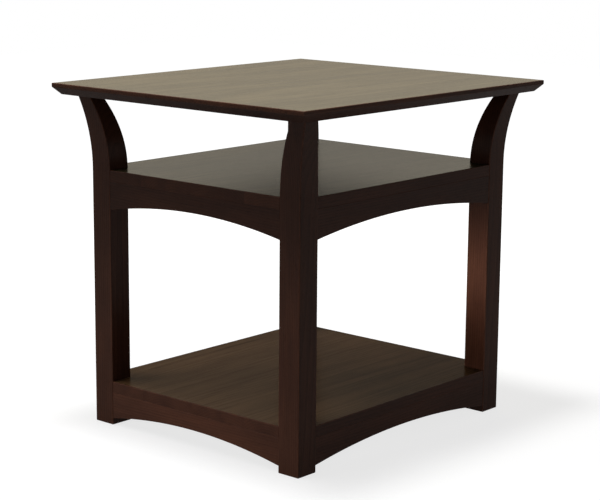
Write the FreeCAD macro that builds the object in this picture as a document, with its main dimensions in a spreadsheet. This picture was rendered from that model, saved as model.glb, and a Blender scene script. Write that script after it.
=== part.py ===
import FreeCAD, Part
import math
import os
import Sketcher
from types import SimpleNamespace

# End table with two shelves, in millimetres.
# X runs from left to right, Y from front to back and Z up.
# The origin is on the floor, under the middle of the top.

SIZES = (
    ("table_height", 610, "floor to the upper face of the top"),
    ("frame_width", 486, "across the outer faces of the legs, left to right"),
    ("frame_depth", 559, "across the outer faces of the legs, front to back"),
    ("top_overhang", 48, "top beyond the straight part of the legs"),
    ("top_thickness", 20, "thickness of the top"),
    ("top_edge_height", 7, "square edge above the under-bevel"),
    ("top_bevel_run", 12, "under-bevel, measured inwards"),
    ("top_edge_radius", 1.5, "rounding of the upper rim of the top"),
    ("top_board_count", 5, "boards glued up into the top"),
    ("leg_width", 44.5, "square section of the straight leg"),
    ("leg_top_width", 30, "square section of the leg where it meets the top"),
    ("flare_reach_x", 21, "outward curve of the leg to the side"),
    ("flare_reach_y", 13.5, "outward curve of the leg to the front or back"),
    ("leg_edge_radius", 2, "rounding of the long edges of the leg"),
    ("foot_chamfer", 1.5, "bevel round the foot of the leg"),
    ("upper_bay_height", 129, "upper shelf to the underside of the top"),
    ("rail_clearance", 12, "floor to the ends of the lower rails"),
    ("shelf_thickness", 20, "thickness of both shelves"),
    ("shelf_edge_radius", 1.5, "rounding of the upper rim of a shelf"),
    ("shelf_board_count", 4, "boards glued up into one shelf"),
    ("notch_gap", 0.3, "play between a leg and the notch of the shelf"),
    ("upper_rail_depth", 50.5, "height of an upper rail at its ends"),
    ("lower_rail_depth", 48, "height of a lower rail at its ends"),
    ("rail_thickness", 20, "thickness of a rail"),
    ("rail_setback", 1, "face of a rail behind the face of the leg"),
    ("rail_edge_bevel", 1, "bevel along the arch of a rail"),
    ("arch_rise", 19, "rise of the arch in the lower edge of a rail"),
    ("tenon_thickness", 8, "thickness of a tenon"),
    ("tenon_shoulder", 7, "rail above and below its tenon"),
    ("mortise_wall", 4.5, "wood in the leg between the end of a tenon and the one that crosses it"),
    ("glue_gap", 0.1, "room for glue beside a tenon or a dowel"),
    ("glue_pocket", 1, "room for glue past the end of a tenon, dowel or screw"),
    ("dowel_diameter", 8, "dowels between the legs and the top"),
    ("dowel_depth", 17, "part of a dowel that is in the leg"),
    ("dowel_seat_share", 0.65, "share of the thickness of the top that a dowel enters"),
    ("dowel_offset_share", 0.185, "dowel from the middle of the leg along X and Y, by its top width"),
    ("dowel_chamfer", 0.8, "bevel on the ends of a dowel"),
    ("cleat_side", 20, "square section of a cleat"),
    ("cleat_end_gap", 3, "cleat short of the leg"),
    ("cleat_chamfer", 3, "bevel on the free lower edge of a cleat"),
    ("cleat_screw_inset", 14, "outermost screw from the end of a cleat"),
    ("screw_head_diameter", 8, "countersunk head"),
    ("screw_diameter", 4, "shank of a screw"),
    ("screw_bite_share", 0.6, "share of the thickness of a shelf that a screw enters"),
    ("screw_tip_length", 4, "point of a screw"),
    ("screw_gap", 0.05, "play round a screw"),
    ("recess_width", 1.2, "one bar of the cross recess in a screw head"),
    ("recess_length", 4.4, "cross recess, end to end"),
    ("recess_depth", 1.2, "depth of the cross recess"),
    ("cut_overrun", 5, "how far a cut runs past what it cuts"),
)

AXIS_X = FreeCAD.Vector(1, 0, 0)
AXIS_Y = FreeCAD.Vector(0, 1, 0)
AXIS_Z = FreeCAD.Vector(0, 0, 1)
COUNTERSINK_ANGLE = 90
MATCH_SHARE = 0.00001

# Rotations by a quarter turn: about Z from X to Y, and about X from Z to the front

QUARTER_TURN = FreeCAD.Rotation(AXIS_X, AXIS_Y)
TIP_TO_FRONT = FreeCAD.Rotation(AXIS_Z, -AXIS_Y)


# A size that carries both its number and the formula that binds it to the sheet


class Size:
    def __init__(self, value, formula):
        self.value = float(value)
        self.formula = formula

    def __add__(self, other):
        other = as_size(other)
        return Size(self.value + other.value, f"({self.formula} + {other.formula})")

    def __sub__(self, other):
        other = as_size(other)
        return Size(self.value - other.value, f"({self.formula} - {other.formula})")

    def __mul__(self, other):
        other = as_size(other)
        return Size(self.value * other.value, f"({self.formula} * {other.formula})")

    def __truediv__(self, other):
        other = as_size(other)
        return Size(self.value / other.value, f"({self.formula} / {other.formula})")

    def __neg__(self):
        return self * -1

    def __rmul__(self, other):
        return self * other

    def root(self):
        return Size(math.sqrt(self.value), f"sqrt({self.formula})")


def as_size(number):
    return number if isinstance(number, Size) else Size(number, repr(number))


ZERO = Size(0, "0")

doc = FreeCAD.newDocument("EndTable")
sheet = doc.addObject("Spreadsheet::Sheet", "Sizes")
for row, (alias, value, meaning) in enumerate(SIZES, start=1):
    sheet.set(f"A{row}", meaning)
    sheet.set(f"B{row}", str(value))
    sheet.setAlias(f"B{row}", alias)
doc.recompute()
s = SimpleNamespace(**{alias: Size(sheet.get(alias), f"Sizes.{alias}") for alias, _, _ in SIZES})

# Sizes that follow from the driving ones

half_width = s.frame_width / 2
half_depth = s.frame_depth / 2
top_width = s.frame_width + 2 * s.top_overhang
top_depth = s.frame_depth + 2 * s.top_overhang
top_board_count = int(s.top_board_count.value)
top_board_width = top_width / top_board_count
leg_height = s.table_height - s.top_thickness
upper_shelf_height = leg_height - s.upper_bay_height
flare_start = upper_shelf_height
flare_height = s.upper_bay_height
shelf_width = s.frame_width - 2 * s.rail_setback
shelf_depth = s.frame_depth - 2 * s.rail_setback
shelf_board_count = int(s.shelf_board_count.value)
shelf_board_width = shelf_width / shelf_board_count
notch = s.leg_width - s.rail_setback + s.notch_gap
rail_span_x = s.frame_width - 2 * s.leg_width
rail_span_y = s.frame_depth - 2 * s.leg_width
tenon_inset = (s.rail_thickness - s.tenon_thickness) / 2
tenon_near = s.rail_setback + tenon_inset
tenon_far = tenon_near + s.tenon_thickness
tenon_length = s.leg_width - tenon_far - s.mortise_wall
dowel_seat = s.top_thickness * s.dowel_seat_share
dowel_length = dowel_seat + s.dowel_depth
dowel_offset = s.leg_top_width * s.dowel_offset_share
cleat_length = rail_span_x - 2 * s.cleat_end_gap
screw_bite = s.shelf_thickness * s.screw_bite_share
screw_length = s.cleat_side + screw_bite
pilot_depth = screw_bite + s.glue_pocket
pilot_diameter = s.screw_diameter + 2 * s.screw_gap
lower_shelf_height = s.rail_clearance + s.lower_rail_depth + s.shelf_thickness
shelf_levels = {"upper": upper_shelf_height, "lower": lower_shelf_height}
rail_depths = {"upper": s.upper_rail_depth, "lower": s.lower_rail_depth}

# Places along a cleat: one screw up into each shelf board, and one into the rail between each two of those

screw_pitch = (cleat_length - 2 * s.cleat_screw_inset) / (shelf_board_count - 1)
shelf_screw_places = [s.cleat_screw_inset + screw_pitch * i for i in range(shelf_board_count)]
rail_screw_places = [place + screw_pitch / 2 for place in shelf_screw_places[:-1]]


def bind(thing, prop, size):
    thing.setExpression(prop, as_size(size).formula)


def place(thing, x, y, z, quarter_turns=0, tipped=False):
    rotation = TIP_TO_FRONT if tipped else FreeCAD.Rotation()
    for _ in range(quarter_turns):
        rotation = QUARTER_TURN * rotation
    thing.Placement.Rotation = rotation
    for axis, size in zip("xyz", (x, y, z)):
        bind(thing, f"Placement.Base.{axis}", size)


def new_body(label):
    body = doc.addObject("PartDesign::Body", label)
    body.Label = label
    return body


def new_sketch(body, role, offset=ZERO):
    plane = next(f for f in body.Origin.OriginFeatures if f.Role == role)
    sketch = body.newObject("Sketcher::SketchObject", f"{body.Label}_sketch")
    sketch.AttachmentSupport = (plane, "")
    sketch.MapMode = "FlatFace"
    bind(sketch, "AttachmentOffset.Base.z", offset)
    return sketch


def pin_point(sketch, geometry, point, x, y):
    """Holds one point of a sketch at two bound distances from the sketch's origin."""
    for kind, size in (("DistanceX", x), ("DistanceY", y)):
        if size is None:
            continue
        size = as_size(size)
        number = sketch.addConstraint(Sketcher.Constraint(kind, -1, 1, geometry, point, size.value))
        name = f"{kind}_{geometry}_{point}"
        sketch.renameConstraint(number, name)
        bind(sketch, f"Constraints.{name}", size)


def draw_outline(sketch, corners, arcs=None):
    """A closed outline through the corners. An arc replaces the side that starts at its numbered corner:
    it has a centre, of which the height is bound, and bulges to the left or right of the way round."""
    arcs = arcs or {}
    corners = [(as_size(x), as_size(y)) for x, y in corners]
    points = [FreeCAD.Vector(x.value, y.value, 0) for x, y in corners]
    sides = []
    for i, point in enumerate(points):
        following = points[(i + 1) % len(points)]
        if i not in arcs:
            sides.append((sketch.addGeometry(Part.LineSegment(point, following)), 1, 2))
            continue
        centre_x, centre_y, turns_left = arcs[i]
        centre = FreeCAD.Vector(centre_x.value, centre_y.value, 0)
        first, last = (point, following) if turns_left else (following, point)
        circle = Part.Circle(centre, AXIS_Z, (first - centre).Length)
        arc = Part.ArcOfCircle(circle, circle.parameter(first), circle.parameter(last))
        side = sketch.addGeometry(arc)
        sides.append((side, 1, 2) if turns_left else (side, 2, 1))
    for i, (side, start, end) in enumerate(sides):
        following, following_start, _ = sides[(i + 1) % len(sides)]
        sketch.addConstraint(Sketcher.Constraint("Coincident", side, end, following, following_start))
        pin_point(sketch, side, start, *corners[i])
        if i in arcs:
            pin_point(sketch, side, 3, None, arcs[i][1])


def draw_rectangle(sketch, left, low, right, high):
    draw_outline(sketch, ((left, low), (right, low), (right, high), (left, high)))


def draw_circle(sketch, x, y, diameter):
    centre = FreeCAD.Vector(as_size(x).value, as_size(y).value, 0)
    number = sketch.addGeometry(Part.Circle(centre, AXIS_Z, diameter.value / 2))
    pin_point(sketch, number, 3, x, y)
    constraint = sketch.addConstraint(Sketcher.Constraint("Diameter", number, diameter.value))
    sketch.renameConstraint(constraint, f"Diameter_{number}")
    bind(sketch, f"Constraints.Diameter_{number}", diameter)


def pad(body, sketch, length, reverse=False, length_behind=None):
    feature = body.newObject("PartDesign::Pad", f"{body.Label}_pad")
    feature.Profile = sketch
    feature.Reversed = reverse
    bind(feature, "Length", length)
    if length_behind is not None:
        feature.SideType = "Two sides"
        bind(feature, "Length2", length_behind)
    doc.recompute()
    return feature


def pocket(body, sketch, depth=None, reverse=False):
    """Cuts a sketch into a body, right through where no depth is given, and makes sure that it cut."""
    before = body.Shape.Volume
    feature = body.newObject("PartDesign::Pocket", f"{body.Label}_pocket")
    feature.Profile = sketch
    feature.Reversed = reverse
    if depth is None:
        feature.Type = "ThroughAll"
    else:
        bind(feature, "Length", depth)
    doc.recompute()
    if not feature.Shape.Volume < before:
        raise RuntimeError(f"{sketch.Label} cut nothing")
    return feature


def countersunk_holes(body, sketch, reverse):
    """Clearance holes right through, each with a seat for a flat screw head."""
    before = body.Shape.Volume
    feature = body.newObject("PartDesign::Hole", f"{body.Label}_hole")
    feature.Profile = sketch
    doc.recompute()
    feature.Reversed = reverse
    feature.DepthType = "ThroughAll"
    feature.HoleCutType = "Countersink"
    feature.HoleCutCustomValues = True
    feature.HoleCutCountersinkAngle = COUNTERSINK_ANGLE
    bind(feature, "Diameter", pilot_diameter)
    bind(feature, "HoleCutDiameter", s.screw_head_diameter + 2 * s.screw_gap)
    doc.recompute()
    if not feature.Shape.Volume < before:
        raise RuntimeError(f"{sketch.Label} drilled nothing")
    return feature


def ease(body, kind, prop, size, wanted):
    """Rounds or bevels the edges of a body that the test picks by their middle point and their box."""
    base = body.Tip
    edges = enumerate(base.Shape.Edges, start=1)
    names = [f"Edge{n}" for n, edge in edges if wanted(edge.CenterOfMass, edge.BoundBox)]
    feature = body.newObject(f"PartDesign::{kind}", f"{body.Label}_{kind.lower()}")
    feature.Base = (base, names)
    bind(feature, prop, size)
    doc.recompute()
    return feature


def same(number, size):
    return abs(number - as_size(size).value) < s.table_height.value * MATCH_SHARE


def leg_outline(sketch, reach):
    """One face of the leg: square below, with both edges curving outwards above the upper shelf."""
    inner_shift = s.leg_width - s.leg_top_width + reach
    inner_radius = (flare_height * flare_height + inner_shift * inner_shift) / (2 * inner_shift)
    outer_radius = (flare_height * flare_height + reach * reach) / (2 * reach)
    corners = (
        (ZERO, ZERO),
        (s.leg_width, ZERO),
        (s.leg_width, flare_start),
        (s.leg_top_width - reach, leg_height),
        (-reach, leg_height),
        (ZERO, flare_start),
    )
    arcs = {2: (s.leg_width - inner_radius, flare_start, True), 4: (-outer_radius, flare_start, False)}
    draw_outline(sketch, corners, arcs)


def make_leg(label, corner_x, corner_y, quarter_turns, reach_first, reach_second):
    """A leg in its own corner frame: its outer edge stands at zero, and the table lies on the plus sides."""
    other = new_body(f"{label}_second_profile")
    profile = new_sketch(other, "YZ_Plane")
    leg_outline(profile, reach_second)
    pad(other, profile, s.leg_width + s.cut_overrun, length_behind=reach_first + s.cut_overrun)

    body = new_body(label)
    sketch = new_sketch(body, "XZ_Plane")
    leg_outline(sketch, reach_first)
    pad(body, sketch, reach_second + s.cut_overrun, length_behind=s.leg_width + s.cut_overrun)
    both = body.newObject("PartDesign::Boolean", f"{label}_both_profiles")
    both.setObjects([other])
    both.Type = "Common"
    doc.recompute()

    long_edge = s.leg_width.value
    ease(body, "Fillet", "Radius", s.leg_edge_radius, lambda middle, box: box.ZLength > long_edge)
    ease(body, "Chamfer", "Size", s.foot_chamfer, lambda middle, box: same(box.ZMax, ZERO))

    for role, side in (("YZ_Plane", 1), ("XZ_Plane", -1)):
        mortises = new_sketch(body, role, s.leg_width * side)
        near = tenon_near - s.glue_gap
        far = tenon_far + s.glue_gap
        for level, shelf_height in shelf_levels.items():
            rail_top = shelf_height - s.shelf_thickness
            low = rail_top - rail_depths[level] + s.tenon_shoulder - s.glue_gap
            high = rail_top - s.tenon_shoulder + s.glue_gap
            draw_rectangle(mortises, near, low, far, high)
        pocket(body, mortises, tenon_length + s.glue_pocket, reverse=side < 0)

    holes = new_sketch(body, "XY_Plane", leg_height)
    middle_first = s.leg_top_width / 2 - reach_first
    middle_second = s.leg_top_width / 2 - reach_second
    for side in (1, -1):
        x = middle_first + dowel_offset * side
        y = middle_second - dowel_offset * side
        draw_circle(holes, x, y, s.dowel_diameter + 2 * s.glue_gap)
    pocket(body, holes, s.dowel_depth + s.glue_pocket)
    place(body, corner_x, corner_y, ZERO, quarter_turns)
    return body


def make_rail(label, span, depth, x, y, z, quarter_turns, screwed):
    """A rail in its own frame: the outer face is at zero, and the length runs from shoulder to shoulder.
    The blank is longer, so that the bevel of the arch runs past both shoulders before they are sawn."""
    body = new_body(label)
    radius = (span * span / 4 + s.arch_rise * s.arch_rise) / (2 * s.arch_rise)
    centre = s.arch_rise - radius
    left = -s.cut_overrun
    right = span + s.cut_overrun
    reach = right - span / 2
    low = centre + (radius * radius - reach * reach).root()
    blank = new_sketch(body, "XZ_Plane")
    corners = ((left, depth), (left, low), (right, low), (right, depth))
    draw_outline(blank, corners, {1: (span / 2, centre, False)})
    pad(body, blank, s.rail_thickness, reverse=True)

    most = span.value / 2
    ease(
        body,
        "Chamfer",
        "Size",
        s.rail_edge_bevel,
        lambda middle, box: box.XLength > most and not same(box.ZMin, depth),
    )
    waste = new_sketch(body, "XZ_Plane")
    below = low - s.cut_overrun
    above = depth + s.cut_overrun
    draw_rectangle(waste, left - s.cut_overrun, below, ZERO, above)
    draw_rectangle(waste, span, below, right + s.cut_overrun, above)
    pocket(body, waste)

    for shoulder, is_start in ((ZERO, True), (span, False)):
        tenon = new_sketch(body, "YZ_Plane", shoulder)
        draw_rectangle(
            tenon,
            tenon_inset,
            s.tenon_shoulder,
            tenon_inset + s.tenon_thickness,
            depth - s.tenon_shoulder,
        )
        pad(body, tenon, tenon_length, reverse=is_start)
    if screwed:
        holes = new_sketch(body, "XZ_Plane", -s.rail_thickness)
        for along in rail_screw_places:
            draw_circle(holes, s.cleat_end_gap + along, depth - s.cleat_side / 2, pilot_diameter)
        pocket(body, holes, pilot_depth, reverse=True)
    place(body, x, y, z, quarter_turns)
    return body


def board_rim(width, depth, left_edge, right_edge, height):
    """Picks the outer upper edges of one board of a panel, not the edges where it is glued to the next."""

    def wanted(middle, box):
        on_end = same(box.YMax, ZERO) or same(box.YMin, depth)
        on_left = left_edge and same(box.XMax, ZERO)
        on_right = right_edge and same(box.XMin, width)
        return same(box.ZMin, height) and (on_end or on_left or on_right)

    return wanted


def make_shelf_board(label, index, shelf_height):
    """One board of a shelf, front to back, notched round the legs where it is an outer one."""
    body = new_body(label)
    first = index == 0
    last = index == shelf_board_count - 1
    width = shelf_board_width
    outline = new_sketch(body, "XY_Plane")
    end = shelf_depth
    far = end - notch
    inner = width - notch
    left_side = [(ZERO, end), (ZERO, ZERO)]
    right_side = [(width, ZERO), (width, end)]
    if first:
        left_side = [(notch, end), (notch, far), (ZERO, far)]
        left_side += [(ZERO, notch), (notch, notch), (notch, ZERO)]
    if last:
        right_side = [(inner, ZERO), (inner, notch), (width, notch)]
        right_side += [(width, far), (inner, far), (inner, end)]
    draw_outline(outline, left_side + right_side)
    pad(body, outline, s.shelf_thickness)
    wanted = board_rim(width, shelf_depth, first, last, s.shelf_thickness)
    ease(body, "Fillet", "Radius", s.shelf_edge_radius, wanted)

    left = width * index - shelf_width / 2
    holes = new_sketch(body, "XY_Plane")
    from_end = s.rail_thickness + s.cleat_side / 2
    drilled = False
    for along in shelf_screw_places:
        x = along - cleat_length / 2 - left
        if 0 < x.value < width.value:
            drilled = True
            draw_circle(holes, x, from_end, pilot_diameter)
            draw_circle(holes, x, shelf_depth - from_end, pilot_diameter)
    if drilled:
        pocket(body, holes, pilot_depth, reverse=True)
    place(body, left, -shelf_depth / 2, shelf_height - s.shelf_thickness)
    return body


def dowel_places():
    """Two dowels in the head of each leg, on the diagonal across its lean."""
    reach_x = half_width + s.flare_reach_x - s.leg_top_width / 2
    reach_y = half_depth + s.flare_reach_y - s.leg_top_width / 2
    places = []
    for side_x, side_y in ((-1, -1), (1, -1), (1, 1), (-1, 1)):
        for way in (1, -1):
            x = reach_x * side_x + dowel_offset * way
            y = reach_y * side_y - dowel_offset * (way * side_x * side_y)
            places.append((x, y))
    return places


def make_top_board(label, index):
    """One board of the top, front to back, bevelled underneath on its outer sides."""
    body = new_body(label)
    first = index == 0
    last = index == top_board_count - 1
    width = top_board_width
    drop = s.top_thickness - s.top_edge_height
    section = new_sketch(body, "XZ_Plane")
    left_side = [(ZERO, s.top_thickness), (ZERO, drop), (s.top_bevel_run, ZERO)]
    right_side = [(width - s.top_bevel_run, ZERO), (width, drop), (width, s.top_thickness)]
    if not first:
        left_side = [(ZERO, s.top_thickness), (ZERO, ZERO)]
    if not last:
        right_side = [(width, ZERO), (width, s.top_thickness)]
    draw_outline(section, left_side + right_side)
    pad(body, section, top_depth, reverse=True)

    bevels = new_sketch(body, "YZ_Plane")
    below = -s.cut_overrun
    for end, way in ((ZERO, 1), (top_depth, -1)):
        inside = end + s.top_bevel_run * way
        outside = end - s.cut_overrun * way
        corners = [(end, drop), (outside, drop), (outside, below), (inside, below), (inside, ZERO)]
        draw_outline(bevels, corners)
    pocket(body, bevels, reverse=True)
    wanted = board_rim(width, top_depth, first, last, s.top_thickness)
    ease(body, "Fillet", "Radius", s.top_edge_radius, wanted)

    left = width * index - top_width / 2
    hole = s.dowel_diameter + 2 * s.glue_gap
    holes = new_sketch(body, "XY_Plane")
    drilled = False
    for x, y in dowel_places():
        x = x - left
        if -hole.value < 2 * x.value < 2 * width.value + hole.value:
            drilled = True
            draw_circle(holes, x, y + top_depth / 2, hole)
    if drilled:
        pocket(body, holes, dowel_seat + s.glue_pocket, reverse=True)
    place(body, left, -top_depth / 2, leg_height)
    return body


def make_cleat(label, x, y, z, quarter_turns):
    """A cleat in its own frame: its back lies on the rail at zero, and it runs from left to right."""
    body = new_body(label)
    section = new_sketch(body, "YZ_Plane")
    draw_rectangle(section, ZERO, ZERO, s.cleat_side, s.cleat_side)
    pad(body, section, cleat_length)
    ease(
        body,
        "Chamfer",
        "Size",
        s.cleat_chamfer,
        lambda middle, box: same(middle.z, ZERO) and same(middle.y, s.cleat_side),
    )
    upward = new_sketch(body, "XY_Plane")
    for along in shelf_screw_places:
        draw_circle(upward, along, s.cleat_side / 2, pilot_diameter)
    countersunk_holes(body, upward, reverse=True)
    sideways = new_sketch(body, "XZ_Plane", -s.cleat_side)
    for along in rail_screw_places:
        draw_circle(sideways, along, s.cleat_side / 2, pilot_diameter)
    countersunk_holes(body, sideways, reverse=True)
    place(body, x, y, z, quarter_turns)
    return body


def make_screw():
    """A flat-headed screw with a cross recess: the head's face is at zero and the point is up."""
    body = new_body("screw")
    head_height = (s.screw_head_diameter - s.screw_diameter) / 2
    half_section = new_sketch(body, "XZ_Plane")
    corners = (
        (ZERO, ZERO),
        (s.screw_head_diameter / 2, ZERO),
        (s.screw_diameter / 2, head_height),
        (s.screw_diameter / 2, screw_length - s.screw_tip_length),
        (ZERO, screw_length),
    )
    draw_outline(half_section, corners)
    turned = body.newObject("PartDesign::Revolution", "screw_turned")
    turned.Profile = half_section
    turned.ReferenceAxis = (half_section, ["V_Axis"])
    doc.recompute()
    recess = new_sketch(body, "XY_Plane")
    thin = s.recess_width / 2
    long = s.recess_length / 2
    corners = [(long, thin), (thin, thin), (thin, long), (-thin, long), (-thin, thin), (-long, thin)]
    draw_outline(recess, corners + [(-x, -y) for x, y in corners])
    pocket(body, recess, s.recess_depth, reverse=True)
    return body


def make_dowel():
    body = new_body("dowel")
    section = new_sketch(body, "XY_Plane")
    draw_circle(section, ZERO, ZERO, s.dowel_diameter)
    pad(body, section, dowel_length)
    ease(body, "Chamfer", "Size", s.dowel_chamfer, lambda middle, box: same(box.ZLength, ZERO))
    return body


def make_group(label, pattern, places):
    """A set of like fasteners: each has a point, and may have quarter turns and be tipped to the front."""
    copies = []
    for spot in places:
        copy = doc.addObject("App::Link", f"{label}_copy")
        copy.LinkedObject = pattern
        place(copy, *spot)
        copies.append(copy)
    group = doc.addObject("Part::Compound", label)
    group.Label = label
    group.Links = copies
    doc.recompute()
    return group


nodes = []

# Legs, counted round the table from the front left corner, each a quarter turn on from the last

legs = (
    ("leg_front_left", -half_width, -half_depth),
    ("leg_front_right", half_width, -half_depth),
    ("leg_back_right", half_width, half_depth),
    ("leg_back_left", -half_width, half_depth),
)
for quarter_turns, (label, corner_x, corner_y) in enumerate(legs):
    reaches = (s.flare_reach_x, s.flare_reach_y)
    if quarter_turns % 2:
        reaches = (s.flare_reach_y, s.flare_reach_x)
    nodes.append(make_leg(label, corner_x, corner_y, quarter_turns, *reaches))

# Rails, cleats and boards of both shelves

screw = make_screw()
for level, shelf_height in shelf_levels.items():
    shelf_bottom = shelf_height - s.shelf_thickness
    rail_depth = rail_depths[level]
    rail_bottom = shelf_bottom - rail_depth
    face_x = half_width - s.rail_setback
    face_y = half_depth - s.rail_setback
    end_x = rail_span_x / 2
    end_y = rail_span_y / 2
    rails = (
        ("front", rail_span_x, -end_x, -face_y),
        ("right", rail_span_y, face_x, -end_y),
        ("back", rail_span_x, end_x, face_y),
        ("left", rail_span_y, -face_x, end_y),
    )
    for quarter_turns, (side, span, x, y) in enumerate(rails):
        label = f"{level}_rail_{side}"
        screwed = span is rail_span_x
        nodes.append(make_rail(label, span, rail_depth, x, y, rail_bottom, quarter_turns, screwed))

    cleat_back = face_y - s.rail_thickness
    cleat_bottom = shelf_bottom - s.cleat_side
    screw_row = cleat_back - s.cleat_side / 2
    screw_face = cleat_back - s.cleat_side
    up = []
    sideways = []
    for side, way, quarter_turns in (("front", -1, 0), ("back", 1, 2)):
        label = f"{level}_cleat_{side}"
        start = cleat_length / 2 * way
        nodes.append(make_cleat(label, start, cleat_back * way, cleat_bottom, quarter_turns))
        for along in shelf_screw_places:
            up.append((start - along * way, screw_row * way, cleat_bottom))
        for along in rail_screw_places:
            height = cleat_bottom + s.cleat_side / 2
            sideways.append((start - along * way, screw_face * way, height, quarter_turns, True))
    nodes.append(make_group(f"{level}_shelf_screws", screw, up))
    nodes.append(make_group(f"{level}_cleat_screws", screw, sideways))
    for index in range(shelf_board_count):
        nodes.append(make_shelf_board(f"{level}_shelf_board_{index + 1}", index, shelf_height))

# Top and the dowels that hold it

for index in range(top_board_count):
    nodes.append(make_top_board(f"top_board_{index + 1}", index))
dowel = make_dowel()
dowel_foot = leg_height - s.dowel_depth
nodes.append(make_group("leg_top_dowels", dowel, [(x, y, dowel_foot) for x, y in dowel_places()]))

# Nothing is written unless every object is sound

doc.recompute()
for thing in doc.Objects:
    if "Invalid" in thing.State or "Error" in thing.State:
        raise RuntimeError(f"{thing.Label} failed: {thing.State}")
for node in nodes:
    if node.Shape.isNull() or not node.Shape.isValid() or not node.Shape.Solids:
        raise RuntimeError(f"{node.Label} has no sound solid")
os.makedirs("parts", exist_ok=True)
for node in nodes:
    node.Shape.exportStep(os.path.join("parts", f"{node.Label}.step"))
    print(node.Label, len(node.Shape.Solids), round(node.Shape.Volume))
print(len(nodes), "nodes")
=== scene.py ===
# %% [markdown]
# # A dark wood end table with two shelves
# This lesson dresses a small occasional table: a bevelled top on four legs that curve outwards, an upper
# and a lower shelf, and eight rails with arched lower edges. The construction is already measured, so it
# is loaded first as a fixed frame, and every piece made here takes its place from that frame. Nothing on
# this table moves.

# %% The measured frame
import math

import bmesh
import bpy
from mathutils import Matrix, Vector


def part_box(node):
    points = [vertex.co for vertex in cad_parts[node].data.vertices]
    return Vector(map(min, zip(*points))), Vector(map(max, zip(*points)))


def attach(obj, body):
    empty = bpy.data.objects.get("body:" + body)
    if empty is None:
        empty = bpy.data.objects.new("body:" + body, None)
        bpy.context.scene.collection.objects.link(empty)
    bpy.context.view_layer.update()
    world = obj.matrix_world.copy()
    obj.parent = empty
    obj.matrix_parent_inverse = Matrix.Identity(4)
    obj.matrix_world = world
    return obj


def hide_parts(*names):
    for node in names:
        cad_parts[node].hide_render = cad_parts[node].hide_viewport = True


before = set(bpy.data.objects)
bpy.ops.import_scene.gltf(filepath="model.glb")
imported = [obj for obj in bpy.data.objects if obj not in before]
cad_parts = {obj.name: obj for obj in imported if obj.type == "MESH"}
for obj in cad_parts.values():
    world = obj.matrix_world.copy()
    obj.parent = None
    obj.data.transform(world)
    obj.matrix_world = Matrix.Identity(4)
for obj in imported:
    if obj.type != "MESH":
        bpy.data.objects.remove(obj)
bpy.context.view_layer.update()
print("pieces in the frame:", len(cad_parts))

# %% [markdown]
# ## The camera
# A photograph's viewpoint can be matched by eye or worked out from the lines of the object. Here the
# corners of the table gave the place, so the numbers below are a real camera: where it stands, which way
# it looks and how long its lens is. The focal length is in pixels of a picture 600 wide, and Blender wants
# millimetres on its sensor.

# %% The camera
PICTURE_WIDTH = 600
FOCAL_PIXELS = 1767.3
SENSOR_WIDTH = 36.0
CAMERA_PLACE = Vector((2.0548, -2.3462, 0.9373))
CAMERA_HEADING = math.radians(131.234)
CAMERA_DIP = math.radians(11.443)
CAMERA_ROLL = math.radians(0.438)

ahead = Vector((math.cos(CAMERA_HEADING), math.sin(CAMERA_HEADING), 0)) * math.cos(CAMERA_DIP)
ahead.z = -math.sin(CAMERA_DIP)
level_right = Vector((math.sin(CAMERA_HEADING), -math.cos(CAMERA_HEADING), 0))
level_up = level_right.cross(ahead)
right = level_right * math.cos(CAMERA_ROLL) + level_up * math.sin(CAMERA_ROLL)
up = level_up * math.cos(CAMERA_ROLL) - level_right * math.sin(CAMERA_ROLL)

lens = bpy.data.cameras.new("photograph_lens")
lens.sensor_fit = "HORIZONTAL"
lens.sensor_width = SENSOR_WIDTH
lens.lens = SENSOR_WIDTH * FOCAL_PIXELS / PICTURE_WIDTH
camera = bpy.data.objects.new("photograph_camera", lens)
camera_axes = Matrix((right, up, -ahead)).transposed().to_4x4()
camera.matrix_world = Matrix.Translation(CAMERA_PLACE) @ camera_axes
bpy.context.scene.collection.objects.link(camera)
bpy.context.scene.camera = camera
print("lens in millimetres:", round(lens.lens, 1))

# %% [markdown]
# ## Writing shaders as sums
# A node tree drawn by hand soon becomes a web. A small class can hold one output socket and answer to
# plus, minus, times and powers by adding a Math node, so that a pattern reads like a formula. Any other
# node comes from its method called node: the settings are made first, because some of them change which
# sockets the node has, and then the inputs.


# %% A socket that can be added and multiplied
class Wire:
    """One output socket of a node tree."""

    def __init__(self, tree, socket=None):
        self.tree = tree
        self.socket = socket

    def node(self, kind, settings=None, inputs=None, output=0):
        made = self.tree.nodes.new("ShaderNode" + kind)
        for name, value in (settings or {}).items():
            setattr(made, name, value)
        for name, value in (inputs or {}).items():
            if isinstance(value, Wire):
                self.tree.links.new(value.socket, made.inputs[name])
            else:
                made.inputs[name].default_value = value
        return Wire(self.tree, made.outputs[output] if made.outputs else None)

    def math(self, operation, first, second):
        return self.node("Math", {"operation": operation}, {0: first, 1: second})

    def __add__(self, other):
        return self.math("ADD", self, other)

    def __radd__(self, other):
        return self.math("ADD", other, self)

    def __sub__(self, other):
        return self.math("SUBTRACT", self, other)

    def __rsub__(self, other):
        return self.math("SUBTRACT", other, self)

    def __mul__(self, other):
        return self.math("MULTIPLY", self, other)

    def __rmul__(self, other):
        return self.math("MULTIPLY", other, self)

    def __pow__(self, other):
        return self.math("POWER", self, other)


def empty_tree(owner):
    owner.use_nodes = True
    owner.node_tree.nodes.clear()
    return Wire(owner.node_tree)


print("signs that a wire answers to: + - * **")

# %% [markdown]
# ## Patterns in the wood
# Real wood is a solid: its rings are shells round the heart of the tree, so a board shows arches on its
# face, lines on its edge and curves on its end. A picture wrapped round the piece can't do that, but a
# pattern in space can. Fibres, pores and blotches of stain are three scales of one idea, noise that is
# drawn out along the grain, and the same noise makes the rings wander. The helpers take coordinates
# whose first axis runs along the grain.

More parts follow.
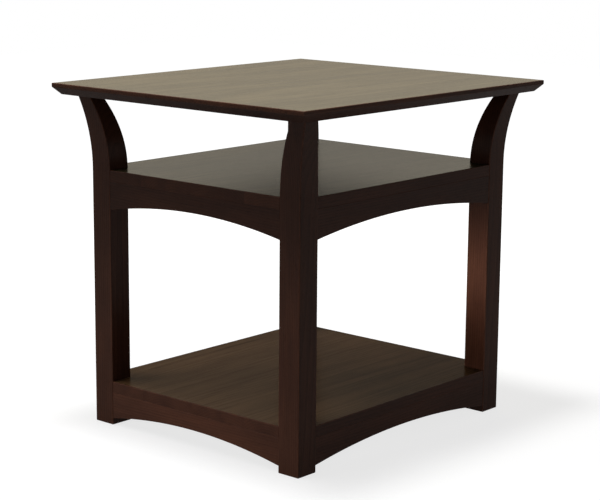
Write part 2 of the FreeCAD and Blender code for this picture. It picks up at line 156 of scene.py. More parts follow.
# %% Patterns in the wood
NOISE_ROUGHNESS = 0.55
NOISE_MIDDLE = 0.5
RINGS_PER_METRE = 210
RING_WANDER = 0.006
WANDER = {"length": 0.45, "width": 0.05, "detail": 2}
LATE_WOOD_POWER = 2
ACROSS_GRAIN = (0, 1, 1)
MIX_FACTOR, MIX_FIRST, MIX_SECOND = 0, 6, 7
MIX_RESULT = 2
MM_PER_METRE = 1000


def grain_noise(log, length, width, detail):
    """Noise drawn out along the grain, with a length and a width in metres."""
    stretch = (1 / length, 1 / width, 1 / width)
    stretched = log.node("VectorMath", {"operation": "MULTIPLY"}, {0: log, 1: stretch})
    inputs = {"Vector": stretched, "Scale": 1, "Detail": detail, "Roughness": NOISE_ROUGHNESS}
    return log.node("TexNoise", None, inputs)


def step_up(value, low, high):
    """Zero below low, one above high and smooth between them."""
    settings = {"interpolation_type": "SMOOTHSTEP"}
    return value.node("MapRange", settings, {"Value": value, "From Min": low, "From Max": high})


def growth_rings(log):
    """Each ring darkens slowly towards its late wood and then starts again."""
    across = log.node("VectorMath", {"operation": "MULTIPLY"}, {0: log, 1: ACROSS_GRAIN})
    radius = log.node("VectorMath", {"operation": "LENGTH"}, {0: across}, "Value")
    wander = (grain_noise(log, **WANDER) - NOISE_MIDDLE) * RING_WANDER
    ring = (radius + wander) * RINGS_PER_METRE
    return ring.math("FRACT", ring, 0) ** LATE_WOOD_POWER


def blend(factor, first, second):
    """Mixes two colours. Their sockets share a name with those for numbers, so they go by number."""
    inputs = {MIX_FACTOR: factor, MIX_FIRST: first, MIX_SECOND: second}
    return factor.node("Mix", {"data_type": "RGBA"}, inputs, MIX_RESULT)


print("one growth ring in millimetres:", round(MM_PER_METRE / RINGS_PER_METRE, 1))

# %% [markdown]
# ## The finish
# The table is stained dark brown with a red undertone under a thin satin lacquer. The upper faces of the
# top and the upper shelf hold more lacquer, and their stain is painted paler, as painted sheen and light
# from above. The upward faces of the lower shelf are painted lighter too, as painted light that falls
# between the shelves, and hold less lacquer, so they look duller. Rounded edges are painted lighter and
# redder, partly as stain worn thin and partly as a painted highlight. A finish is therefore two stains for
# the body of a piece, two for its upper face if that differs, and how much lacquer each of them carries.
# Cleats under the shelves were stained but not lacquered, and dowels are bare.

# %% Stains
DARK_STAIN = (0.036, 0.0136, 0.008, 1)
RED_STAIN = (0.074, 0.0275, 0.0155, 1)
# Lighter, redder stain for rounded edges: partly worn stain, partly a painted highlight.
THIN_STAIN_AND_HIGHLIGHT = (0.16, 0.062, 0.034, 1)
# Paler stains for the upward faces of the top and the upper shelf: painted sheen and painted light from
# above.
PAINTED_SHEEN_DARK = (0.038, 0.028, 0.014, 1)
PAINTED_SHEEN_PALE = (0.076, 0.057, 0.029, 1)
# Paler stains for the upward faces of the lower shelf: painted light that falls between the shelves.
PAINTED_LOWER_LIGHT_DARK = (0.1, 0.055, 0.027, 1)
PAINTED_LOWER_LIGHT_PALE = (0.19, 0.105, 0.052, 1)
BARE_DARK = (0.4, 0.26, 0.14, 1)
BARE_LIGHT = (0.56, 0.38, 0.22, 1)
SIDE_LACQUER = 0.115
RUBBED_LACQUER = 0.21
SCUFFED_LACQUER = 0.05


def finish_of(stains, lacquer, upper_painted_light=None, upper_lacquer=0):
    return {
        "stains": stains,
        "lacquer": lacquer,
        "upper painted light": upper_painted_light,
        "upper lacquer": upper_lacquer,
    }


SIDE_STAINS = (DARK_STAIN, RED_STAIN)
PAINTED_SHEEN_STAINS = (PAINTED_SHEEN_DARK, PAINTED_SHEEN_PALE)
PAINTED_LOWER_LIGHT_STAINS = (PAINTED_LOWER_LIGHT_DARK, PAINTED_LOWER_LIGHT_PALE)
PLAIN_FINISH = finish_of(SIDE_STAINS, SIDE_LACQUER)
PAINTED_SHEEN_FINISH = finish_of(SIDE_STAINS, SIDE_LACQUER, PAINTED_SHEEN_STAINS, RUBBED_LACQUER)
PAINTED_LOWER_LIGHT_FINISH = finish_of(SIDE_STAINS, SIDE_LACQUER, PAINTED_LOWER_LIGHT_STAINS, SCUFFED_LACQUER)
MATT_FINISH = finish_of(SIDE_STAINS, 0)
BARE_FINISH = finish_of((BARE_DARK, BARE_LIGHT), 0)
print("red over green in the stain:", round(RED_STAIN[0] / RED_STAIN[1], 2))

# %% [markdown]
# ## A block of the log
# On Object coordinates alone, one pattern would run through all the pieces as if the table were carved
# from a single tree. So each piece is cut from a block of its own: a Mapping node turns the coordinates
# until the first axis runs along the grain, and moves them so that the heart of the tree lies a few
# centimetres outside the piece. The node turns before it moves, so the move has to allow for where the
# turn takes the middle of the piece.

# %% A block of the log
TURN_TO_GRAIN = {
    "X": (0, 0, 0),
    "Y": (0, 0, math.radians(-90)),
    "Z": (0, math.radians(90), 0),
}


def turn_by(angles):
    """The rotation that a Mapping node makes of three angles."""
    turns = (Matrix.Rotation(angle, 3, axis) for angle, axis in zip(angles, "XYZ"))
    about_x, about_y, about_z = turns
    return about_z @ about_y @ about_x


def coordinates_in_log(start, grain, middle, heart, tilt):
    """Heart says where the piece's middle lies, seen from the heart of the tree."""
    place = start.node("TexCoord", None, None, "Object")
    turn = Vector(TURN_TO_GRAIN[grain]) + Vector(tilt)
    shift = Vector(heart) - turn_by(turn) @ middle
    return start.node("Mapping", None, {"Vector": place, "Rotation": turn, "Location": shift})


up_the_grain = turn_by(TURN_TO_GRAIN["Z"]) @ Vector((0, 0, 1))
print("an upright grain turned to the first axis:", [round(part) for part in up_the_grain])

# %% [markdown]
# ## Stained wood
# One function turns a finish into a material. Blotches and fibres choose between the two stains, rings and
# pores darken them, and the same patterns make the surface rougher and press it in. The faces of a piece
# carry two marks that the shader reads. Faces that look up get paler stains, which are painted light and
# sheen, and their own amount of lacquer. Rounded edges are painted lighter and redder, partly as stain
# worn thin and partly as a painted highlight. The lacquer is the coat of the Principled shader. All gloss
# comes from it, so the wood's own specular level is zero: seen along the boards, the coat mirrors the
# bright room, and that reflection over the paler painted stain makes the sheen of the top. Values that
# don't vary, such as the roughness of the coat, are set on the shader's own sockets.

# %% Stained wood
FIBRES = {"length": 0.09, "width": 0.0016, "detail": 3}
PORES = {"length": 0.007, "width": 0.0006, "detail": 1}
BLOTCHES = {"length": 0.2, "width": 0.045, "detail": 3}
PORE_CUT = (0.6, 0.72)
BLOTCH_CUT = (0.25, 0.75)
WORN_AND_HIGHLIGHT_FIBRE_CUT = (0.3, 0.6)
BLOTCH_SHARE = 0.65
PLAIN_SHADE = 1.12
RING_SHADE = 0.26
PORE_SHADE = 0.35
FIBRE_SHADE = 0.4
WOOD_ROUGHNESS = 0.5
FIBRE_ROUGHNESS = 0.12
PORE_ROUGHNESS = 0.14
LACQUER_ROUGHNESS = 0.25
FULL_LACQUER = 1.15
PORE_LACQUER_LOSS = 0.4
FIBRE_LACQUER_LOSS = 0.3
FIBRE_RELIEF = 0.35
RING_RELIEF = 0.25
RELIEF_STRENGTH = 0.35
PORE_DEPTH = 0.0002


def stained_wood(name, finish, block, tone):
    material = bpy.data.materials.new(name)
    start = empty_tree(material)
    log = coordinates_in_log(start, **block)
    ring = growth_rings(log)
    fibre = grain_noise(log, **FIBRES)
    pore = step_up(grain_noise(log, **PORES), *PORE_CUT)
    blotch = step_up(grain_noise(log, **BLOTCHES), *BLOTCH_CUT)
    mottle = blotch * BLOTCH_SHARE + fibre * (1 - BLOTCH_SHARE)
    uneven = fibre - NOISE_MIDDLE

    # Rounded edges are painted lighter and redder, partly as worn stain and partly as a painted highlight.
    thin = start.node("Attribute", {"attribute_name": "thin"}, None, "Fac")
    worn_and_highlight = thin * step_up(fibre, *WORN_AND_HIGHLIGHT_FIBRE_CUT)
    stain = blend(worn_and_highlight, blend(mottle, *finish["stains"]), THIN_STAIN_AND_HIGHLIGHT)
    lacquer = finish["lacquer"]
    # Faces that look up swap in their paler stains, which are painted light and sheen, and get their own
    # lacquer.
    if finish["upper painted light"]:
        painted_light_and_lacquer = start.node("Attribute", {"attribute_name": "painted_light_and_lacquer"}, None, "Fac")
        stain = blend(painted_light_and_lacquer, stain, blend(mottle, *finish["upper painted light"]))
        lacquer = lacquer + painted_light_and_lacquer * (finish["upper lacquer"] - lacquer)
    if lacquer:
        lacquer = lacquer * (FULL_LACQUER - pore * PORE_LACQUER_LOSS - fibre * FIBRE_LACQUER_LOSS)

    shade = (PLAIN_SHADE - ring * RING_SHADE - pore * PORE_SHADE + uneven * FIBRE_SHADE) * tone
    relief = fibre * FIBRE_RELIEF - pore - ring * RING_RELIEF
    bump = {"Height": relief, "Strength": RELIEF_STRENGTH, "Distance": PORE_DEPTH}
    looks = {
        "Base Color": start.node("VectorMath", {"operation": "SCALE"}, {0: stain, "Scale": shade}),
        "Roughness": WOOD_ROUGHNESS + uneven * FIBRE_ROUGHNESS + pore * PORE_ROUGHNESS,
        "Specular IOR Level": 0,
        "Coat Weight": lacquer,
        "Coat Roughness": LACQUER_ROUGHNESS,
        "Normal": start.node("Bump", None, bump),
    }
    start.node("OutputMaterial", None, {"Surface": start.node("BsdfPrincipled", None, looks)})
    return material


print("deepest pore in millimetres:", PORE_DEPTH * MM_PER_METRE)

# %% [markdown]
# No two boards come from the same place in the tree. A random number would do, but steps of the golden
# ratio and its cousins spread just as well and give the same table every time. The heart is set below a
# lying board, so that it is flat-sawn and shows wide arches, while legs and rails show straighter lines.
# The grain runs a degree or two off the length of the piece, as it does in bought timber.

# %% One block of wood for each piece
GOLDEN_STEP = 0.618034
SILVER_STEP = 0.414214
BRONZE_STEP = 0.302776
HEART_ALONG = (0, 5)
HEART_ASIDE = (-0.03, 0.03)
HEART_BELOW = (0.06, 0.11)
GRAIN_DIP = (-0.035, 0.035)
GRAIN_SLANT = (-0.02, 0.02)
TONE_RANGE = (0.92, 1.08)
blocks = []


def varied(step, low, high):
    return low + (high - low) * ((len(blocks) + 1) * step % 1)


def wood_for(node, finish, grain, depth=1):
    """The next block of wood, with the heart of the tree a little way from the named piece."""
    low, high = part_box(node)
    block = {
        "grain": grain,
        "middle": (low + high) / 2,
        "heart": (
            varied(GOLDEN_STEP, *HEART_ALONG),
            varied(SILVER_STEP, *HEART_ASIDE),
            varied(BRONZE_STEP, *HEART_BELOW),
        ),
        "tilt": (0, varied(SILVER_STEP, *GRAIN_DIP), varied(BRONZE_STEP, *GRAIN_SLANT)),
    }
    # For the rails, depth carries their painted light and shade.
    tone = varied(GOLDEN_STEP, *TONE_RANGE) * depth
    blocks.append(stained_wood(f"{node}_stain", finish, block, tone))
    return blocks[-1]


print("first block's tone:", round(varied(GOLDEN_STEP, *TONE_RANGE), 3))

# %% [markdown]
# ## Rounded edges
# No edge of a sanded table is quite sharp, and the stain lies thin where the sanding went round it. A Bevel
# modifier could round every edge at once, but glued joints have to stay square, so edges are picked by
# their place and given to the Bevel operator. It cuts an edge into strips: one strip is a chamfer, two look
# eased and three look round. The new faces are marked in a layer of the mesh, and the shader paints them
# lighter and redder: partly stain worn thin, partly a painted highlight along the edge.

# %% Rounded edges
# Rounded edges are painted lighter and redder: partly worn stain, partly a painted highlight.
EDGE_WEAR_AND_HIGHLIGHT = 0.3
CHAMFERED = 1
EASED = 2
ROUNDED = 3


def new_piece():
    bm = bmesh.new()
    # This layer marks rounded edges, painted as worn stain and as a painted highlight.
    bm.faces.layers.float.new("thin")
    # This layer marks faces that look up, for painted light and sheen and for their own lacquer.
    bm.faces.layers.float.new("painted_light_and_lacquer")
    return bm


def mark_wear_and_highlight(bm, faces, amount):
    """Marks faces as thinly stained, with a painted highlight."""
    thin = bm.faces.layers.float["thin"]
    for face in faces:
        face[thin] = amount


def ease(bm, edges, width, strips):
    """Rounds edges and marks them as worn thin, with a painted highlight."""
    rounded = bmesh.ops.bevel(
        bm,
        geom=edges,
        offset=width,
        offset_type="OFFSET",
        segments=strips,
        profile=0.5,
        affect="EDGES",
        clamp_overlap=True,
        material=-1,
    )
    mark_wear_and_highlight(bm, rounded["faces"], EDGE_WEAR_AND_HIGHLIGHT)


def edges_where(bm, wanted):
    """The edges of which both ends pass a test of their place."""
    return [edge for edge in bm.edges if wanted(*(vert.co for vert in edge.verts))]


def verts_of(made):
    """The vertices among what an operator made."""
    return [item for item in made["geom"] if isinstance(item, bmesh.types.BMVert)]


print("strips of a rounded edge:", ROUNDED)

# %% [markdown]
# ## From bmesh to a finished piece
# Every piece is drawn with bmesh operators and then handed over in the same way. Its upward faces get
# their mark first. Rounded edges and large flat faces don't shade well together, because a smooth normal
# is shared by both. The Weighted Normal modifier lets the larger face win, so boards stay flat and only
# their edges turn. The piece then rides on the table and stands for the solid of the same name.

# %% From bmesh to a finished piece
SHARP_ANGLE = math.radians(38)
UPWARD = math.cos(math.radians(10))


def finished(node, bm, material):
    bmesh.ops.recalc_face_normals(bm, faces=bm.faces)
    # Faces that look up are marked for painted light and sheen, and for their own amount of lacquer.
    painted_light_and_lacquer = bm.faces.layers.float["painted_light_and_lacquer"]
    for face in bm.faces:
        face[painted_light_and_lacquer] = face.normal.z > UPWARD
    mesh = bpy.data.meshes.new(f"finished_{node}")
    bm.to_mesh(mesh)
    bm.free()
    mesh.shade_smooth()
    mesh.set_sharp_from_angle(angle=SHARP_ANGLE)
    mesh.materials.append(material)
    piece = bpy.data.objects.new(f"finished_{node}", mesh)
    bpy.context.scene.collection.objects.link(piece)
    flats = piece.modifiers.new("flats_stay_flat", "WEIGHTED_NORMAL")
    flats.keep_sharp = True
    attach(piece, "root")
    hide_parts(node)
    return piece


print("edges sharper than", round(math.degrees(SHARP_ANGLE)), "degrees stay crisp")

# %% [markdown]
# ## Sizes
# Most sizes are read from the frame, so they can't drift away from it. A box gives the lowest and highest
# corner of a piece. A leg's box takes in its curve, so the straight faces of the legs are found from the
# rails, which stand back from them a little. The few sizes that no box shows, such as that step or the
# rise of an arch, are named in metres where they are first needed.

# %% Sizes
RAIL_SETBACK = 0.001

leg_low, leg_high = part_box("leg_front_left")
LEG_FACE_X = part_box("upper_rail_right")[1].x + RAIL_SETBACK
LEG_FACE_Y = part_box("upper_rail_back")[1].y + RAIL_SETBACK
LEG_WIDTH = LEG_FACE_X + leg_high.x
LEG_HEIGHT = leg_high.z
FLARE_REACH_X = -leg_low.x - LEG_FACE_X
FLARE_REACH_Y = -leg_low.y - LEG_FACE_Y
FLARE_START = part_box("upper_shelf_board_1")[1].z
print("leg width", round(LEG_WIDTH, 4), "flare", round(FLARE_REACH_X, 4), round(FLARE_REACH_Y, 4))

# %% [markdown]
# ## Legs
# A leg is a square post that starts to curve outwards at the upper shelf and grows thinner on its way to
# the top. A maker would band-saw the curve on two faces. In Blender the same is done by extruding a square:
# one long step up to the shelf, then short steps whose squares follow two arcs. The inner arc bends more
# than the outer one, which is what makes the leg thinner. First comes the section of a leg at any height.

# %% The section of a leg
LEG_HEAD_WIDTH = 0.03
FLARE_HEIGHT = LEG_HEIGHT - FLARE_START


def bow(reach, rise):
    """How far an arc that starts upright has moved sideways at a height, if it moves by reach in all."""
    radius = (FLARE_HEIGHT**2 + reach**2) / (2 * reach)
    return radius - math.sqrt(radius**2 - rise**2)


def leg_span(reach, rise):
    """The outer and inner faces of the leg, measured outwards from its straight outer face."""
    outer = bow(reach, rise)
    inner = bow(reach + LEG_WIDTH - LEG_HEAD_WIDTH, rise) - LEG_WIDTH
    return outer, inner


def square_up(face, side_x, side_y, height):
    """Fits the square at the end of an extrusion to the section of the leg at that height."""
    rise = max(height - FLARE_START, 0)
    outer_x, inner_x = leg_span(FLARE_REACH_X, rise)
    outer_y, inner_y = leg_span(FLARE_REACH_Y, rise)
    middle = face.calc_center_median()
    for vert in face.verts:
        is_outer_x = (vert.co.x - middle.x) * side_x > 0
        is_outer_y = (vert.co.y - middle.y) * side_y > 0
        vert.co.x = side_x * (LEG_FACE_X + (outer_x if is_outer_x else inner_x))
        vert.co.y = side_y * (LEG_FACE_Y + (outer_y if is_outer_y else inner_y))
        vert.co.z = height


head_outer, head_inner = leg_span(FLARE_REACH_X, FLARE_HEIGHT)
print("leg width at its head:", round(head_outer - head_inner, 4))

# %% [markdown]
# An extruded face leaves its old self behind inside the post, so that is deleted after each step, except
# for the first one, which is the sole of the foot. Then all long edges are rounded, and the foot is
# bevelled so that it doesn't splinter on the floor. The grain runs up the leg.

# %% Legs
LEG_EDGE_RADIUS = 0.002
FOOT_BEVEL = 0.0015
FLARE_STEPS = 14
HAIR = 0.00001


def make_leg(node, side_x, side_y):
    bm = new_piece()
    bmesh.ops.create_grid(bm, x_segments=1, y_segments=1, size=LEG_WIDTH / 2)
    inset_x, inset_y = LEG_FACE_X - LEG_WIDTH / 2, LEG_FACE_Y - LEG_WIDTH / 2
    bmesh.ops.translate(bm, vec=(side_x * inset_x, side_y * inset_y, 0), verts=bm.verts)
    end = bm.faces[:][0]
    for step in range(FLARE_STEPS + 1):
        old_end = end
        grown = bmesh.ops.extrude_face_region(bm, geom=[old_end])
        end = next(item for item in grown["geom"] if isinstance(item, bmesh.types.BMFace))
        if step > 0:
            bmesh.ops.delete(bm, geom=[old_end], context="FACES_ONLY")
        square_up(end, side_x, side_y, FLARE_START + FLARE_HEIGHT * step / FLARE_STEPS)
    ease(bm, edges_where(bm, lambda a, b: abs(a.z - b.z) > HAIR), LEG_EDGE_RADIUS, ROUNDED)
    ease(bm, edges_where(bm, lambda a, b: max(a.z, b.z) < HAIR), FOOT_BEVEL, EASED)
    return finished(node, bm, wood_for(node, PLAIN_FINISH, "Z"))


legs = [
    make_leg("leg_front_left", -1, -1),
    make_leg("leg_front_right", 1, -1),
    make_leg("leg_back_right", 1, 1),
    make_leg("leg_back_left", -1, 1),
]
print("legs:", len(legs), "with", len(legs[0].data.polygons), "faces each")

# %% [markdown]
# ## Rails
# Each rail is a board on edge whose lower side is cut to a shallow arch between the legs. An arc is what
# the Spin operator draws: one vertex, turned about the centre of the arch. Pulling that line up and
# pressing it flat gives the face of the rail, and one more extrusion gives its thickness. Every rail is
# drawn along X, as the front one runs, and then turned on by quarters round the table. A tiny bevel on
# the upper edge leaves the fine line that is seen where the shelf lies on the rail. The lower rails are
# painted lighter, as painted light that the floor throws up on them, and the upper rails darker, as painted
# shade under the top.

# %% Rails
ARCH_RISE = 0.019
ARCH_STEPS = 32
ARCH_EDGE_BEVEL = 0.001
JOINT_BEVEL = 0.0003
QUARTER_TURN = math.pi / 2
# Painted light and shade on the rails: the lower ones lighter for the floor's bounce, the upper ones darker
# for the shade under the top.
PAINTED_RAIL_LIGHT_AND_SHADE = {"upper": 0.9, "lower": 1.2}
SIDES = ("front", "right", "back", "left")


def arched_board(span, thickness, depth):
    """A board on edge along X, standing on its arch."""
    radius = (span**2 / 4 + ARCH_RISE**2) / (2 * ARCH_RISE)
    sweep = 2 * math.asin(span / 2 / radius)
    bm = new_piece()
    start = bm.verts.new((-span / 2, -thickness / 2, 0))
    middle = (0, -thickness / 2, ARCH_RISE - radius)
    bmesh.ops.spin(
        bm, geom=[start], cent=middle, axis=(0, 1, 0), angle=sweep, steps=ARCH_STEPS, use_merge=False
    )
    upper = verts_of(bmesh.ops.extrude_edge_only(bm, edges=bm.edges[:]))
    bmesh.ops.scale(bm, vec=(1, 1, 0), space=Matrix.Translation((0, 0, -depth)), verts=upper)
    back = verts_of(bmesh.ops.extrude_face_region(bm, geom=bm.faces[:]))
    bmesh.ops.translate(bm, vec=(0, thickness, 0), verts=back)

    lengthways = edges_where(bm, lambda a, b: abs(a.x - b.x) > HAIR and abs(a.y - b.y) < HAIR)
    arch = [edge for edge in lengthways if edge.verts[0].co.z < depth - HAIR]
    joint = [edge for edge in lengthways if edge.verts[0].co.z > depth - HAIR]
    ease(bm, arch, ARCH_EDGE_BEVEL, EASED)
    ease(bm, joint, JOINT_BEVEL, CHAMFERED)
    return bm


def make_rail(level, side):
    node = f"{level}_rail_{side}"
    low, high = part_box(node)
    size = high - low
    runs_along_x = side in ("front", "back")
    leg_face = LEG_FACE_X if runs_along_x else LEG_FACE_Y
    bm = arched_board(2 * (leg_face - LEG_WIDTH), size.y if runs_along_x else size.x, size.z)
    turn = Matrix.Rotation(QUARTER_TURN * SIDES.index(side), 3, "Z")
    bmesh.ops.rotate(bm, matrix=turn, verts=bm.verts)
    bmesh.ops.translate(bm, vec=((low.x + high.x) / 2, (low.y + high.y) / 2, low.z), verts=bm.verts)
    wood = wood_for(node, PLAIN_FINISH, "X" if runs_along_x else "Y", PAINTED_RAIL_LIGHT_AND_SHADE[level])
    return finished(node, bm, wood)


rails = [make_rail(level, side) for level in ("upper", "lower") for side in SIDES]
print("rails:", len(rails), "with", len(rails[0].data.polygons), "faces each")

# %% [markdown]
# ## Shelves
# A shelf this wide is glued up from narrower boards that run from front to back, and its outer boards are
# notched round the legs. A board is a flat outline first, drawn with only the corners it has. Only the
# edges on the outside of the whole shelf will be rounded, so a second helper makes a test for them.

# %% The outline of a shelf board
SHELF_BOARDS = 4
NOTCH_GAP = 0.0003
NOTCH = LEG_WIDTH - RAIL_SETBACK + NOTCH_GAP


def board_outline(low, high, notch_left, notch_right):
    """The corners of a board seen from above, with a square bite at both ends of a notched side."""
    near, far = low.y + NOTCH, high.y - NOTCH
    left = [(low.x, high.y), (low.x, low.y)]
    right = [(high.x, low.y), (high.x, high.y)]
    if notch_left:
        x = low.x + NOTCH
        left = [(x, high.y), (x, far), (low.x, far), (low.x, near), (x, near), (x, low.y)]
    if notch_right:
        x = high.x - NOTCH
        right = [(x, low.y), (x, near), (high.x, near), (high.x, far), (x, far), (x, high.y)]
    return left + right


def rim_test(low, high, is_first, is_last):
    """A test for edges on the outside of a panel, of which this board is a part."""

    def on_rim(a, b):
        on_end = abs(a.y - b.y) < HAIR and (abs(a.y - low.y) < HAIR or abs(a.y - high.y) < HAIR)
        on_left = is_first and max(a.x, b.x) < low.x + HAIR
        on_right = is_last and min(a.x, b.x) > high.x - HAIR
        return on_end or on_left or on_right

    return on_rim


# %% [markdown]
# The outline is extruded to the thickness of the board. Its outer upper rim is rounded and its lower rim
# has the other half of the fine joint line above the rail. The glued edges are left square, because a good
# glue line has no groove: the seam shows as a change of grain and tone.

# %% Shelf boards
SHELF_RIM_RADIUS = 0.0015


def make_shelf_board(level, number, finish):
    node = f"{level}_shelf_board_{number}"
    low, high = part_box(node)
    is_first, is_last = number == 1, number == SHELF_BOARDS
    bm = new_piece()
    corners = [bm.verts.new((x, y, low.z)) for x, y in board_outline(low, high, is_first, is_last)]
    outline = bm.faces.new(corners)
    above = verts_of(bmesh.ops.extrude_face_region(bm, geom=[outline]))
    bmesh.ops.translate(bm, vec=(0, 0, high.z - low.z), verts=above)

    on_rim = rim_test(low, high, is_first, is_last)
    upper_rim = edges_where(bm, lambda a, b: min(a.z, b.z) > high.z - HAIR and on_rim(a, b))
    ease(bm, upper_rim, SHELF_RIM_RADIUS, ROUNDED)
    lower_rim = edges_where(bm, lambda a, b: max(a.z, b.z) < low.z + HAIR and on_rim(a, b))
    ease(bm, lower_rim, JOINT_BEVEL, CHAMFERED)
    return finished(node, bm, wood_for(node, finish, "Y"))


board_numbers = range(1, SHELF_BOARDS + 1)
shelf_boards = [make_shelf_board("upper", number, PAINTED_SHEEN_FINISH) for number in board_numbers]
shelf_boards += [make_shelf_board("lower", number, PAINTED_LOWER_LIGHT_FINISH) for number in board_numbers]
print("shelf boards:", len(shelf_boards))

# %% [markdown]
# ## The top
# The top looks thinner than it is, because its underside is bevelled away on all four sides and only a
# narrow square edge is left to see. Each board starts as a cube of its own size. A bisecting plane marks
# the foot of the square edge, and the corners below it are drawn inwards, which makes the under-bevel. The
# rim is rounded last. The upright faces of the square edge are painted lighter and redder than the rounded
# edges: partly stain worn where the table is taken hold of, partly painted light on the edge.

# %% The top
TOP_BOARDS = 5
TOP_EDGE_HEIGHT = 0.007
TOP_BEVEL_RUN = 0.012
TOP_RIM_RADIUS = 0.0015
TOP_CORNER_RADIUS = 0.001
HANDLED_WEAR_AND_LIGHT = 0.45
UPRIGHT = math.sin(math.radians(6))


def bevelled_cube(low, high, edge_foot, is_first, is_last):
    """A board whose outer sides lean inwards below the foot of its square edge."""
    bm = new_piece()
    bmesh.ops.create_cube(bm, size=1)
    bmesh.ops.scale(bm, vec=high - low, verts=bm.verts)
    bmesh.ops.translate(bm, vec=(low + high) / 2, verts=bm.verts)
    everything = bm.verts[:] + bm.edges[:] + bm.faces[:]
    bmesh.ops.bisect_plane(bm, geom=everything, plane_co=(0, 0, edge_foot), plane_no=(0, 0, 1))
    for vert in bm.verts:
        if vert.co.z > low.z + HAIR:
            continue
        vert.co.y -= math.copysign(TOP_BEVEL_RUN, vert.co.y)
        if (is_first and vert.co.x < low.x + HAIR) or (is_last and vert.co.x > high.x - HAIR):
            vert.co.x -= math.copysign(TOP_BEVEL_RUN, vert.co.x)
    return bm


def make_top_board(number):
    node = f"top_board_{number}"
    low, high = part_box(node)
    is_first, is_last = number == 1, number == TOP_BOARDS
    edge_foot = high.z - TOP_EDGE_HEIGHT
    bm = bevelled_cube(low, high, edge_foot, is_first, is_last)
    on_rim = rim_test(low, high, is_first, is_last)

    def on_edge_foot(a, b):
        return max(abs(a.z - edge_foot), abs(b.z - edge_foot)) < HAIR and on_rim(a, b)

    upper_rim = edges_where(bm, lambda a, b: min(a.z, b.z) > high.z - HAIR and on_rim(a, b))
    ease(bm, upper_rim, TOP_RIM_RADIUS, ROUNDED)
    ease(bm, edges_where(bm, on_edge_foot), TOP_CORNER_RADIUS, EASED)
    upright = [face for face in bm.faces if abs(face.normal.z) < UPRIGHT]
    # The upright faces of the square edge are painted lighter: partly wear from hands, partly painted light
    # on the edge.
    mark_wear_and_highlight(bm, [face for face in upright if face.calc_center_median().z > edge_foot], HANDLED_WEAR_AND_LIGHT)
    return finished(node, bm, wood_for(node, PAINTED_SHEEN_FINISH, "Y"))


top_boards = [make_top_board(number) for number in range(1, TOP_BOARDS + 1)]
print("top boards:", len(top_boards))

# %% [markdown]
# ## What holds it together
# Cleats carry the shelves from below, screws hold the cleats and shelves, and dowels hold the top on the
# legs. They could be drawn again, but their measured solids already have every hole and head, so they
# stay as they are and only get a finish: stained wood without lacquer, bare dowels, and zinc on the
# screws. Zinc plating is yellowish and cloudy from its bath, so one noise drives both its colour and its
# roughness.

# %% Cleats, dowels and screws
ZINC_DARK = (0.32, 0.29, 0.22, 1)
ZINC_LIGHT = (0.56, 0.52, 0.42, 1)
CLOUDS_PER_METRE = 900
CLOUD_DETAIL = 3
ZINC_ROUGHNESS = 0.25
CLOUD_ROUGHNESS = 0.3


def zinc_plate():
    material = bpy.data.materials.new("zinc_plate")
    start = empty_tree(material)
    place = start.node("TexCoord", None, None, "Object")
    inputs = {"Vector": place, "Scale": CLOUDS_PER_METRE, "Detail": CLOUD_DETAIL}
    cloud = start.node("TexNoise", None, inputs)
    looks = {
        "Base Color": blend(cloud, ZINC_DARK, ZINC_LIGHT),
        "Metallic": 1,
        "Roughness": ZINC_ROUGHNESS + cloud * CLOUD_ROUGHNESS,
    }
    start.node("OutputMaterial", None, {"Surface": start.node("BsdfPrincipled", None, looks)})
    return material


def dress(node, material):
    """Gives a measured solid its finish."""
    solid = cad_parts[node]
    solid.data.materials.clear()
    solid.data.materials.append(material)


zinc = zinc_plate()
for level in ("upper", "lower"):
    for side in ("front", "back"):
        cleat = f"{level}_cleat_{side}"
        dress(cleat, wood_for(cleat, MATT_FINISH, "X"))
    for screws in (f"{level}_shelf_screws", f"{level}_cleat_screws"):
        dress(screws, zinc)
dress("leg_top_dowels", wood_for("leg_top_dowels", BARE_FINISH, "Z"))
print("blocks of wood used:", len(blocks))

# %% [markdown]
# ## Studio
# The table stands on a white sweep. A white background is easy to overdo with light, which would bleach
# the wood, so the floor and the world only look white to the camera and to reflections, and give little
# light of their own. Near the table the floor glows less than far away, and lamplight makes up the rest,
# so a soft shadow holds the table down. Further off no horizon is seen.

# %% The floor
FLOOR_SIZE = 12
FLOOR_SHADE = (0.3, 0.3, 0.3, 1)
FLOOR_BOUNCE = (0.14, 0.14, 0.14, 1)
FLOOR_GLOW = (0.76, 0.76, 0.76, 1)
SHADOW_REACH = (0.6, 1.4)
WHITE = (1, 1, 1, 1)


def seen(start):
    """One where a ray comes from the camera, a mirror or glass, and zero where it only carries light."""
    camera_ray = start.node("LightPath", None, None, "Is Camera Ray")
    mirror_ray = start.node("LightPath", None, None, "Is Glossy Ray")
    glass_ray = start.node("LightPath", None, None, "Is Transmission Ray")
    return start.math("MAXIMUM", start.math("MAXIMUM", camera_ray, mirror_ray), glass_ray)


def white_sweep():
    material = bpy.data.materials.new("white_sweep")
    start = empty_tree(material)
    place = start.node("TexCoord", None, None, "Object")
    away = start.node("VectorMath", {"operation": "LENGTH"}, {0: place}, "Value")
    colour = blend(step_up(away, *SHADOW_REACH), FLOOR_GLOW, WHITE)
    glow = start.node("Emission", None, {"Color": colour})
    shade = start.node("BsdfDiffuse", None, {"Color": FLOOR_SHADE})
    looks = start.node("AddShader", None, {0: shade, 1: glow})
    bounce = start.node("BsdfDiffuse", None, {"Color": FLOOR_BOUNCE})
    surface = start.node("MixShader", None, {0: seen(start), 1: bounce, 2: looks})
    start.node("OutputMaterial", None, {"Surface": surface})
    return material


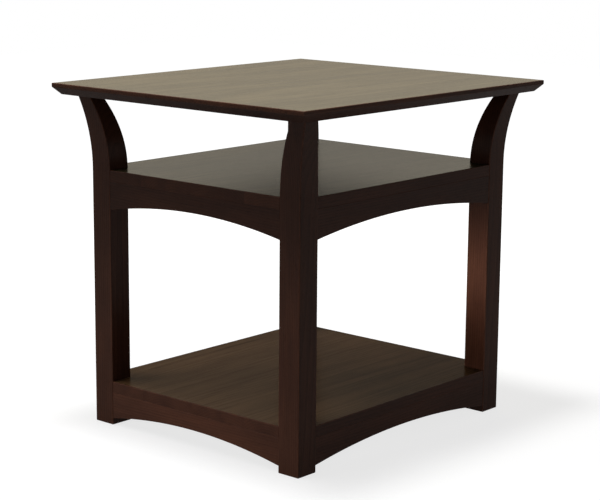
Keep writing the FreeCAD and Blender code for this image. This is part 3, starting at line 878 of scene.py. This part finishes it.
bm = bmesh.new()
bmesh.ops.create_grid(bm, x_segments=1, y_segments=1, size=FLOOR_SIZE / 2)
floor_mesh = bpy.data.meshes.new("studio_floor")
bm.to_mesh(floor_mesh)
bm.free()
floor_mesh.materials.append(white_sweep())
floor = bpy.data.objects.new("studio_floor", floor_mesh)
bpy.context.scene.collection.objects.link(floor)
print("floor in metres:", FLOOR_SIZE)

# %% [markdown]
# The world is the same trick without a floor: white where it is seen, and a faint grey where it lights, so
# that no corner of the table is quite black.

# %% The world
AMBIENT = (0.03, 0.03, 0.03, 1)

world = bpy.data.worlds.new("studio_world")
bpy.context.scene.world = world
start = empty_tree(world)
colour = blend(seen(start), AMBIENT, WHITE)
backdrop = start.node("Background", None, {"Color": colour, "Strength": 1})
start.node("OutputWorld", None, {"Surface": backdrop})
print("light from the world:", AMBIENT[0])

# %% [markdown]
# ## Lamps
# A small softbox hangs overhead, so that the top throws a clear shadow over the heads of the legs and both
# shelves. A wide one at the front left is the key light: it reaches between the shelves, lights the front
# faces and leaves the right-hand ones in shade. A warm one stands behind the table, where the top mirrors
# it towards the camera and gets its sheen. Weak ones fill the front and the back, and a low reflector
# fills the shaded side. Two spotlights finish the picture, one on the lower front and one on the far leg,
# whose red glows in the shade of the table. Their edges are quite soft, and neither they nor the reflector
# are mirrored. The power of each lamp is worked out from its distance, so that a level of 1 shows a white
# card that faces the lamp as white.

# %% Lamps
SPOT_RADIUS = 0.06
WARM = (1, 0.85, 0.55)


def hang(name, lamp, place, aim, mirrored):
    """Puts a lamp where it belongs, turned to its aim and out of sight of the camera."""
    reach = Vector(aim) - Vector(place)
    turn = reach.to_track_quat("-Z", "Y").to_matrix().to_4x4()
    stand = bpy.data.objects.new(name, lamp)
    stand.matrix_world = Matrix.Translation(place) @ turn
    stand.visible_camera = False
    stand.visible_glossy = mirrored
    bpy.context.scene.collection.objects.link(stand)
    print(name, round(lamp.energy, 1), "watts")


def softbox(name, place, aim, size, level, colour=WHITE[:3], mirrored=True):
    lamp = bpy.data.lights.new(name, "AREA")
    lamp.shape = "RECTANGLE"
    lamp.size, lamp.size_y = size
    lamp.color = colour
    lamp.energy = level * (math.pi * math.dist(place, aim)) ** 2
    hang(name, lamp, place, aim, mirrored)


def spotlight(name, place, aim, degrees, level):
    lamp = bpy.data.lights.new(name, "SPOT")
    lamp.spot_size = math.radians(degrees)
    lamp.spot_blend = 1
    lamp.shadow_soft_size = SPOT_RADIUS
    lamp.energy = level * (2 * math.pi * math.dist(place, aim)) ** 2
    hang(name, lamp, place, aim, mirrored=False)


softbox("overhead_softbox", place=(-0.15, -0.3, 3.6), aim=(0, 0, 0.3), size=(0.6, 0.6), level=0.87)
softbox("key_softbox", place=(-2.0, -1.3, 2.7), aim=(0, 0, 0.3), size=(2.6, 1.0), level=0.29)
softbox(
    "sheen_softbox",
    place=(-1.75, 2.0, 1.3),
    aim=(0, 0, 0.6),
    size=(2.0, 0.9),
    level=0.145,
    colour=WARM,
)
softbox("fill_softbox", place=(1.5, -2.6, 0.7), aim=(0, 0, 0.35), size=(1.2, 1.2), level=0.055)
softbox("back_softbox", place=(0.3, 3.0, 0.45), aim=(0, 0.27, 0.3), size=(1.2, 0.8), level=0.16)
softbox(
    "right_reflector",
    place=(0.8, 0.1, 0.06),
    aim=(0.25, 0.1, 0.06),
    size=(0.9, 0.1),
    level=0.11,
    mirrored=False,
)
spotlight("front_spot", place=(-0.75, -2.3, 0.2), aim=(0.03, -0.28, 0.08), degrees=22, level=0.38)
spotlight("leg_spot", place=(-0.42, -1.05, 0.1), aim=(0.2, 0.235, 0.253), degrees=8.6, level=1.15)
bpy.context.scene.view_settings.view_transform = "Standard"
